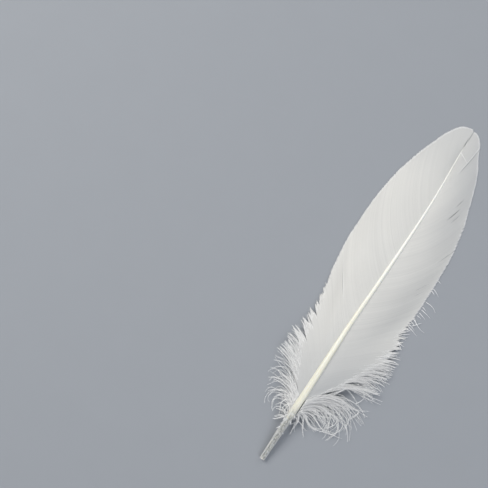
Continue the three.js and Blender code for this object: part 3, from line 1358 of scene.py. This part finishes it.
@dataclass
class Shaft:
    """Quill and rachis: a hollow barrel that runs into a solid, grooved rod."""

    sides: int = 24
    spacing: float = 3.0
    cut_face: float = 0.15
    wall: float = 0.3
    bore_depth: float = 25.0
    bore_spacing: float = 2.5
    bore_end: Rows = ((1.2, 0.45), (1.8, 0.9))
    groove_from: float = 30.0
    groove_until: float = 160.0
    groove_depth: float = 0.42
    groove_half_angle: float = 22.0

    def _station(self, y: float, shrink: float = 0.0) -> Station:
        """Reads the shaft's line.

        Args:
            y: Millimetres from the cut end.
            shrink: How much smaller the section is made all round.

        Returns:
            The section there.
        """
        half = float(SHAFT_LINE.half_width(y)) - shrink
        deeper = 1 + 0.12 * float(ease(np.array(y), 26, 60))
        return Station(SHAFT_LINE.centre(y), half, half * deeper)

    def build(self, finish: bpy.types.Material) -> bpy.types.Object:
        """Models the shaft.

        Args:
            finish: The horn.

        Returns:
            The piece.
        """
        tube = DrawnTube("Quill_And_Rachis", self._station(0.0), self.sides)
        end = SHAFT_LINE.end
        places = [self.cut_face, *np.arange(self.spacing, end, self.spacing), end]
        stations = [self._station(float(y)) for y in places]
        for station in stations:
            tube.extrude(station)
        tube.close()
        self._bore(tube)
        self._groove(tube, stations)
        return tube.finish(finish, 50)

    def _bore(self, tube: DrawnTube) -> None:
        """Sinks the barrel's bore from the cut end and rounds its far end.

        Args:
            tube: The solid shaft.
        """
        tube.pick_end(0.0)
        bpy.ops.mesh.inset(thickness=self.wall * MM)
        tube.here = self._station(0.0, self.wall)
        for y in (self.cut_face, *np.arange(self.bore_spacing, self.bore_depth - 2, self.bore_spacing)):
            tube.extrude(self._station(float(y), self.wall))
        for past, shrink in self.bore_end:
            tube.extrude(self._station(self.bore_depth - 3 + past, self.wall + shrink))
        tube.close()

    def _groove(self, tube: DrawnTube, stations: Sequence[Station]) -> None:
        """Presses the groove into the underside of the rachis.

        Args:
            tube: The shaft.
            stations: Where its rings are.
        """
        bpy.ops.mesh.select_mode(type="VERT")
        for station in stations:
            y = station.middle[1]
            depth = self.groove_depth * float(ease(np.array(y), self.groove_from, self.groove_from + 12))
            if depth > 0 and y <= self.groove_until:
                tube.pick_ring(station, self.groove_half_angle)
                bpy.ops.transform.translate(value=(0, 0, depth * station.half_height * MM))


@dataclass
class Pulp:
    """The dried pulp in the barrel: shrivelled caps on a thread."""

    start: float = 4.0
    end: float = 20.5
    caps: int = 5
    sides: int = 14
    per_cap: int = 5
    radius: float = 0.8
    crumple: float = 0.09

    def build(self, finish: bpy.types.Material) -> bpy.types.Object:
        """Models the caps.

        Args:
            finish: The dry membrane.

        Returns:
            The piece.
        """
        places = np.linspace(0, 1, self.caps * self.per_cap)
        swell = np.abs(np.sin(places * self.caps * math.pi + 0.4)) ** 0.6
        radii = self.radius * (0.25 + 0.75 * swell) * (0.8 + 0.2 * np.cos(places * 5))
        middles = SHAFT_LINE.centre(self.start + (self.end - self.start) * places)
        stations = [Station(middle, radius, radius * 0.85) for middle, radius in zip(middles, radii)]
        tube = DrawnTube("Dried_Pulp", stations[0], self.sides)
        for station in stations[1:]:
            tube.extrude(station)
        bpy.ops.mesh.select_all(action="SELECT")
        bpy.ops.transform.vertex_random(offset=self.crumple * MM, seed=5)
        return tube.finish(finish, 60)


@dataclass
class SheathFlakes:
    """Scraps of the dry sheath that still cling to the quill: (y, side, length, width, curl)."""

    scraps: Rows = (
        (17.8, -1, 2.5, 0.5, 26), (21.9, -1, 1.3, 0.6, 34), (22.4, 1, 1.8, 0.5, 12),
        (25.6, 1, 2.4, 0.45, 8), (19.6, -1, 1.0, 0.35, 50), (24.4, -1, 1.6, 0.5, 16),
        (15.8, 1, 0.9, 0.3, 30),
    )
    thickness: float = 0.07
    places: int = 8

    def build(self, finish: bpy.types.Material) -> bpy.types.Object:
        """Makes the scraps, each a thin strip that lifts off the quill and curls.

        Args:
            finish: Their material.

        Returns:
            The piece.
        """
        flakes = FibreMesh()
        t = np.linspace(0, 1, self.places)
        for y, side, length, width, curl in self.scraps:
            angle = np.radians(12 + curl * t)
            step = length / (self.places - 1)
            middle = SHAFT_LINE.centre(y)
            edge = float(SHAFT_LINE.half_width(y)) * 0.86
            x = middle[0] + side * (edge + np.cumsum(np.sin(angle)) * step)
            along = y - np.cumsum(np.cos(angle)) * step * 0.8
            path = np.stack([x, along, middle[2] + edge * 0.5 + 0.35 * t], axis=-1)
            forward = unit(np.gradient(path, axis=0))
            flat = unit(np.cross(forward, UP) + 0.5 * UP)
            rise = np.cross(flat, forward)
            half = 0.5 * width * np.sqrt(np.clip(1 - t**2.2, 0.03, 1))[:, None]
            thick = 0.5 * self.thickness
            corners = [path + half * flat, path + thick * rise, path - half * flat, path - thick * rise]
            flakes.add_sections(np.stack(corners, axis=1)[None], 0.8)
        return flakes.build("Sheath_Flakes", finish)


# ------------------------------------------------------------------ studio


@dataclass(frozen=True)
class Lamp:
    """A square soft light that points at the middle of the table."""

    name: str
    place: Sequence[float]
    size: float
    power: float
    colour: Colour

    def build(self) -> None:
        """Adds the light."""
        bpy.ops.object.light_add(type="AREA", location=self.place)
        lamp = bpy.context.object
        lamp.name = self.name
        lamp.data.size = self.size
        lamp.data.energy = self.power
        lamp.data.color = self.colour
        lamp.rotation_mode = "QUATERNION"
        lamp.rotation_quaternion = lamp.location.to_track_quat("Z", "Y")


@dataclass(frozen=True)
class Studio:
    """The table, the soft lights and the camera straight above.

    Sizes are in metres, but view_centre is in drawn millimetres. The view is view_width wide at the
    height view_level.
    """

    table_size: float = 3.0
    view_turn: float = 32.886
    view_centre: tuple[float, float] = (-60.6, 78.4)
    view_width: float = 0.2244
    view_level: float = 0.0005
    lens: float = 85.0
    sensor: float = 36.0
    lamps: Sequence[Lamp] = (
        Lamp("Key", (-0.75, 0.16, 0.75), 0.55, 7.6, (1.0, 0.97, 0.92)),
        Lamp("Fill", (0.7, -0.35, 0.9), 0.9, 4.4, (0.97, 0.98, 1.0)),
        Lamp("Back", (0.1, 0.9, 0.7), 0.7, 1.6, (1.0, 1.0, 1.0)),
    )
    sky: Colour = (0.86, 0.91, 1.0)
    sky_strength: float = 0.34

    def build(self, finish: bpy.types.Material) -> None:
        """Adds the table, the camera, the lights and the sky.

        Args:
            finish: The table's material.
        """
        deselect_all()
        bpy.ops.mesh.primitive_plane_add(size=self.table_size, location=(0, 0, 0))
        table = bpy.context.object
        table.name = "Table"
        table.data.materials.append(finish)
        table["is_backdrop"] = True
        self._camera()
        for lamp in self.lamps:
            lamp.build()
        world = bpy.data.worlds.new("Sky")
        world.use_nodes = True
        background = world.node_tree.nodes["Background"].inputs
        background["Color"].default_value = (*self.sky, 1.0)
        background["Strength"].default_value = self.sky_strength
        bpy.context.scene.world = world
        bpy.context.scene.view_settings.view_transform = "Standard"

    def _camera(self) -> None:
        """Hangs the camera over the table, turned so that the feather points up and to the right."""
        x, y = LAY.metres(np.array([*self.view_centre, 0.0]))[:2]
        distance = self.view_width * self.lens / self.sensor
        bpy.ops.object.camera_add(
            location=(x, y, distance + self.view_level), rotation=(0, 0, math.radians(self.view_turn))
        )
        camera = bpy.context.object
        camera.data.lens = self.lens
        camera.data.sensor_width = self.sensor
        camera.data.clip_start = 0.01
        bpy.context.scene.camera = camera


# ------------------------------------------------------------------ the whole feather

# Both vanes and tufts, in drawn millimetres. Vane, Split and Down say what a row holds.
LEFT_BARB_TIPS = (
    (32, -22, 45), (40, -22.3, 57.5), (48, -20.9, 67), (57, -19.3, 79), (66, -21.2, 94.5),
    (78, -22.4, 110.5), (92, -22, 126), (107, -20.4, 141), (118, -18, 151.5), (132, -14, 163.5),
    (149, -9, 174.5), (160, -5.4, 178.6), (165, -3.3, 179.5), (168, -0.45, 180),
)
RIGHT_BARB_TIPS = (
    (32, 31.6, 51.0), (36, 30.6, 55.6), (40, 30.8, 59.2), (48, 30.6, 66.8), (57, 28.2, 76.6),
    (60, 25.8, 81.4), (63, 24.7, 85.5), (66, 24.3, 89.2), (70, 24.2, 94.4), (78, 24, 104.5),
    (92, 23.5, 121), (107, 20.9, 138.5), (118, 17.3, 150.5), (132, 12.6, 163.5), (148.8, 7.3, 173),
    (149.8, 6.75, 174.6), (152.5, 5.6, 176.3), (160, 3.6, 178.3), (165, 1.6, 179.3),
    (168, -0.35, 179.2),
)
LEFT_FREE_SHARE = (
    (32, 0.75), (36, 0.55), (40, 0.38), (48, 0.20), (57, 0.08), (66, 0.02), (78, 0.01), (168, 0.01),
)
RIGHT_FREE_SHARE = (
    (32, 0.75), (36, 0.62), (40, 0.52), (48, 0.36), (54, 0.24), (57, 0.16), (60, 0.11), (63, 0.085),
    (66, 0.055), (70, 0.025), (75, 0.012), (168, 0.01),
)
LEFT_SPLITS = (
    Split(72.5, 0.25, 0.24, 0.2, 0.5, 1.05, 0.9), Split(98.0, 0.14, 0.03, 0.02, 0.1, 0.3, 0.9),
    Split(52.5, 1.6, 0.0, 0.7), Split(43.5, 2.2, 0.0, 0.5),
)
RIGHT_SPLITS = (
    Split(149.2, 0.36, 0.3, 0.3, 0.58, 1.8, 0.9), Split(122.6, 0.52, 0.06, 0.42, 0.62, 0.84, 0.8),
    Split(126.4, 0.42, 0.05, 0.55, 0.68, 0.86, 0.8), Split(118.8, 0.38, 0.04, 0.56, 0.7, 0.9, 0.8),
    Split(98.5, 0.34, 0.08, 0.6, 0.85, 1.2, 0.8), Split(87.0, 0.3, 0.06, 0.45, 0.7, 1.0, 0.8),
    Split(83.0, 0.28, 0.05, 0.5, 0.75, 1.0, 0.8), Split(51.0, 1.6, 0.0, 0.75),
    Split(46.2, 3.0, 0.0, 0.6), Split(41.6, 2.0, 0.0, 0.5, 0.8, 1.4),
    Split(36.9, 4.2, 0.0, 0.42, 0.74, 1.15, 2.0), Split(32.0, 6.0, 0.0, 0.2, 0.75, 1.6, 2.6),
    Split(34.3, 0.9, 0.0, 0.3, 0.48, 0.66, 1.0), Split(39.3, 3.6, 0.0, 0.6, 0.9, 1.4, 1.2),
    Split(43.8, 1.8, 0.0, 0.6, 0.9, 1.4, 1.0), Split(167.0, 0.42, 0.0, 0.35, 0.8, 1.5, 0.8),
)
RIGHT_GUIDES = (
    ((1.7, 24.5), (3.1, 24.3), (3.9, 21.5), (4.3, 18.8), (5.0, 16.3)),
    ((1.8, 25.8), (4.4, 26.3), (6.6, 24), (8.8, 21.2), (11, 19)),
    ((1.8, 26.3), (4.6, 27.6), (8.3, 25.4), (12.4, 24.7), (16.4, 25.6), (20.6, 26.9), (26.5, 28.2)),
    ((1.8, 27.3), (5, 29.4), (9.6, 29), (14, 27.1), (19, 26.6)),
    ((1.8, 28.3), (6, 31.8), (11, 32.2), (15.6, 29.5), (17.4, 23.6)),
    ((1.8, 29.3), (6, 33.3), (12.5, 34.8), (19.5, 31.5), (22, 26.5), (19.9, 22.2)),
    ((1.8, 30.3), (7, 35.5), (14, 37.2), (21.5, 34.7), (25.4, 29.8)),
    ((1.8, 31.3), (7.5, 37), (15, 39.6), (24, 35.7), (29, 26.5)),
    ((1.8, 32.3), (8, 38.5), (16, 41), (25, 39), (30.5, 35)),
    ((1.8, 33.2), (9, 40), (17, 42.2), (26, 41), (31, 37)),
    ((1.8, 34), (9.5, 41.3), (17.5, 43.2), (24, 43.9), (29.7, 43.7)),
)
RIGHT_CROWDS = (
    (3, 0.1), (3, 0.15), (5, 0.3), (7, 0.6), (10, 1.0), (13, 1.2), (16, 1.2), (18, 1.2), (20, 1.2),
    (18, 1.0), (12, 0.7),
)
RIGHT_STRANDS = (
    ((1.8, 27.2), (3.3, 26.6), (3.5, 24.4), (3.8, 22.4), (3.7, 20.8), (4.2, 18.8), (4.9, 16)),
    ((1.8, 26.6), (3.6, 24.6), (3.5, 22.2), (2.6, 20.8), (1.7, 20)),
    ((1.8, 26.8), (3.6, 25.2), (4.5, 22.4), (4.6, 19.8), (5.8, 17.4)),
    ((1.8, 27.5), (4.2, 27.4), (6.2, 25.4), (7.4, 22.8), (9, 20.6), (11.1, 18.8)),
    ((1.8, 26), (3.6, 23.9), (6.4, 23.3), (8.4, 22.4), (10.4, 21.6)),
    ((1.8, 27.8), (5, 28), (8, 25.8), (11, 24.7), (13.2, 24.7), (17, 26), (20.5, 26.8), (26.9, 28.4)),
    ((1.8, 28.2), (4.6, 29.2), (9, 29.4), (12.6, 27.8), (16, 26.7), (19.5, 27.5), (22.6, 27)),
    ((1.8, 27.6), (5.4, 28), (9, 26.9), (11.6, 25.8), (14.2, 24.4)),
    ((1.8, 29.6), (6, 31.8), (11.4, 31.2), (14.6, 29.2), (17, 27), (17.3, 23)),
    ((1.8, 30.6), (8, 34), (14, 34.5), (19.4, 33.4), (19.4, 30.6), (17, 26.6)),
    ((1.8, 30.6), (9, 35.3), (17, 35), (21.4, 32.2), (22.2, 28.6), (20.9, 25.3), (19.5, 21.7)),
    ((1.8, 31), (10, 34.8), (18, 34), (22.6, 33.4), (24.8, 32.2), (25.6, 29.2)),
    ((1.8, 32), (10, 37.2), (18, 37.2), (23.6, 34.6), (27, 30.8), (28.8, 26.4)),
    ((1.8, 33), (10, 40), (19, 41), (26, 41.6), (25.6, 40), (23, 36.2)),
    ((1.8, 33.4), (9, 40), (18, 42.6), (24, 40.8), (28, 39.4), (31.2, 36.8)),
    ((1.8, 33.4), (9, 39.8), (17, 41), (24.4, 38.2), (30.2, 35.2)),
    ((1.8, 29), (5.6, 30.9), (8.6, 30.6), (13, 31.6), (17.4, 33.4), (20.4, 35)),
    ((1.8, 28.4), (5, 28.6), (7.6, 26.6), (9.6, 25.2), (12.4, 24.2), (14.6, 24)),
    ((1.8, 30), (6.6, 33.2), (12.4, 33.4), (15.6, 31.4), (18.2, 28), (21.6, 25.4)),
)
LEFT_GUIDES = (
    ((-2, 21.6), (-3.4, 21.8), (-4.7, 20.5), (-5.6, 18.6)),
    ((-2, 23), (-4.4, 24.6), (-6.9, 23.6), (-7.7, 20.2)),
    ((-2, 25), (-5, 28), (-8.4, 27.4), (-9.8, 23)),
    ((-2, 27), (-6, 30.3), (-11, 29.8), (-14, 25.8)),
    ((-2, 29), (-7, 32.6), (-13, 32.4), (-17, 28)),
    ((-2, 30.7), (-8, 35), (-14.5, 35.6), (-19.2, 32)),
    ((-2, 32.3), (-8, 37), (-15, 38.8), (-20.8, 36.5)),
    ((-2, 33.5), (-9, 39.6), (-16, 42), (-21.4, 41.4)),
)
LEFT_CROWDS = ((3, 0.3), (4, 0.6), (6, 1.0), (9, 1.1), (12, 1.2), (14, 1.2), (14, 1.1), (10, 0.8))
LEFT_STRANDS = (
    ((-2, 22.6), (-3.2, 21.9), (-4.6, 20.6), (-5.9, 19.2)),
    ((-2, 22.3), (-3.2, 21.4), (-4.2, 19.9), (-6.2, 18.6)),
    ((-2.1, 28.8), (-4.2, 27.6), (-4.9, 25.6), (-4.4, 23.6), (-3.4, 21.8)),
    ((-2.1, 30), (-5.2, 29.4), (-6.8, 27.4), (-6.2, 25), (-5.2, 23.2), (-4.4, 21.2)),
    ((-2.1, 29.6), (-3.4, 27.6), (-3.5, 25), (-3, 22.6)),
    ((-2.1, 24.8), (-3.4, 24.2), (-5.3, 23.8), (-7.2, 23)),
    ((-2.1, 30.4), (-7.5, 30.6), (-10.4, 27), (-9.6, 23.6), (-7.6, 21.6)),
    ((-2.1, 31), (-8.6, 32), (-12.8, 29.6), (-14, 26), (-12.6, 22.6)),
)
RIGHT_LOOSE_HAIRS = (
    (168.1, -0.2, 6.2, 119, 0), (112.6, 23.4, 2.0, 98, 10), (108.4, 23.4, 4.7, 105, 18),
    (107.2, 23.5, 2.5, 112, 5), (101.1, 23.4, 7.6, 79, 47), (98.7, 23.8, 2.7, 103, 6),
    (97.4, 23.6, 6.5, 99, 4), (95.7, 23.8, 4.9, 104, 6), (94.0, 23.6, 2.9, 94, 4),
    (92.9, 23.4, 9.1, 141, -50), (91.9, 23.0, 2.8, 108, 14), (88.4, 24.7, 4.8, 36, 6),
    (90.2, 22.6, 3.4, 96, 20), (88.6, 22.4, 4.8, 94, 22), (87.7, 22.8, 6.5, 104, 4),
    (86.4, 22.2, 3.6, 90, 12), (84.9, 22.0, 3.8, 60, 8), (83.6, 22.0, 4.2, 54, -4),
    (82.4, 22.0, 4.6, 62, -8), (81.5, 22.2, 4.2, 66, 4), (80.8, 22.6, 3.6, 72, 8),
    (79.7, 22.6, 5.4, 128, -4), (78.8, 23.6, 3.4, 100, -14), (48.6, 21.0, 11.5, 78, 6),
    (50.0, 22.0, 10.5, 77, 4), (58.2, 24.0, 5.0, 82, 10), (53.4, 24.8, 3.4, 36, 6),
    (44.0, 22.0, 5.2, 36, -18), (42.2, 26.2, 6.6, 202, 8), (27.4, 16.8, 5.0, 36, 6),
)


def dress(piece: bpy.types.Object, slot: str, *nodes: str) -> None:
    """Fixes a finished piece to the feather's one body.

    Args:
        piece: The finished piece.
        slot: The record's material slot that it shows; not used.
        nodes: The CAD nodes that it stands for.
    """
    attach(piece, "root")
    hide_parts(*nodes)
    triangles = sum(len(face.vertices) - 2 for face in piece.data.polygons)
    LOG.info("%s: %d triangles", piece.name, triangles)


def main() -> None:
    """Builds the feather piece by piece, and then the studio round it."""
    logging.basicConfig(level=logging.INFO, format="%(name)s: %(message)s")
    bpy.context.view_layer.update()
    horn, pulp = HornFinish().build(), PulpFinish().build()
    web, fluff = VaneFinish().build(), DownFinish().build()
    dress(Shaft().build(horn), "shaft_keratin", "quill_shaft")
    dress(Pulp().build(pulp), "dried_pulp", "quill_pulp")
    dress(SheathFlakes().build(fluff), "shaft_keratin", "quill_shaft")
    left = Vane(Side.LEFT, 11, LEFT_BARB_TIPS, LEFT_FREE_SHARE, LEFT_SPLITS, streaks=0.03)
    right = Vane(
        Side.RIGHT, 23, RIGHT_BARB_TIPS, RIGHT_FREE_SHARE, RIGHT_SPLITS, streaks=0.1,
        loose_hairs=RIGHT_LOOSE_HAIRS,
    )
    for vane, node in ((left, "left_vane"), (right, "right_vane")):
        for piece in vane.build(web, fluff):
            dress(piece, "vane_web", node)
    left_tuft = Down(Side.LEFT, 31, LEFT_GUIDES, LEFT_CROWDS, LEFT_STRANDS, reach=22.0)
    right_tuft = Down(Side.RIGHT, 61, RIGHT_GUIDES, RIGHT_CROWDS, RIGHT_STRANDS, reach=32.0)
    for tuft, node in ((left_tuft, "left_down"), (right_tuft, "right_down")):
        dress(tuft.build(fluff), "down", node)
    Studio().build(TableFinish().build())


if __name__ == "__main__":
    main()
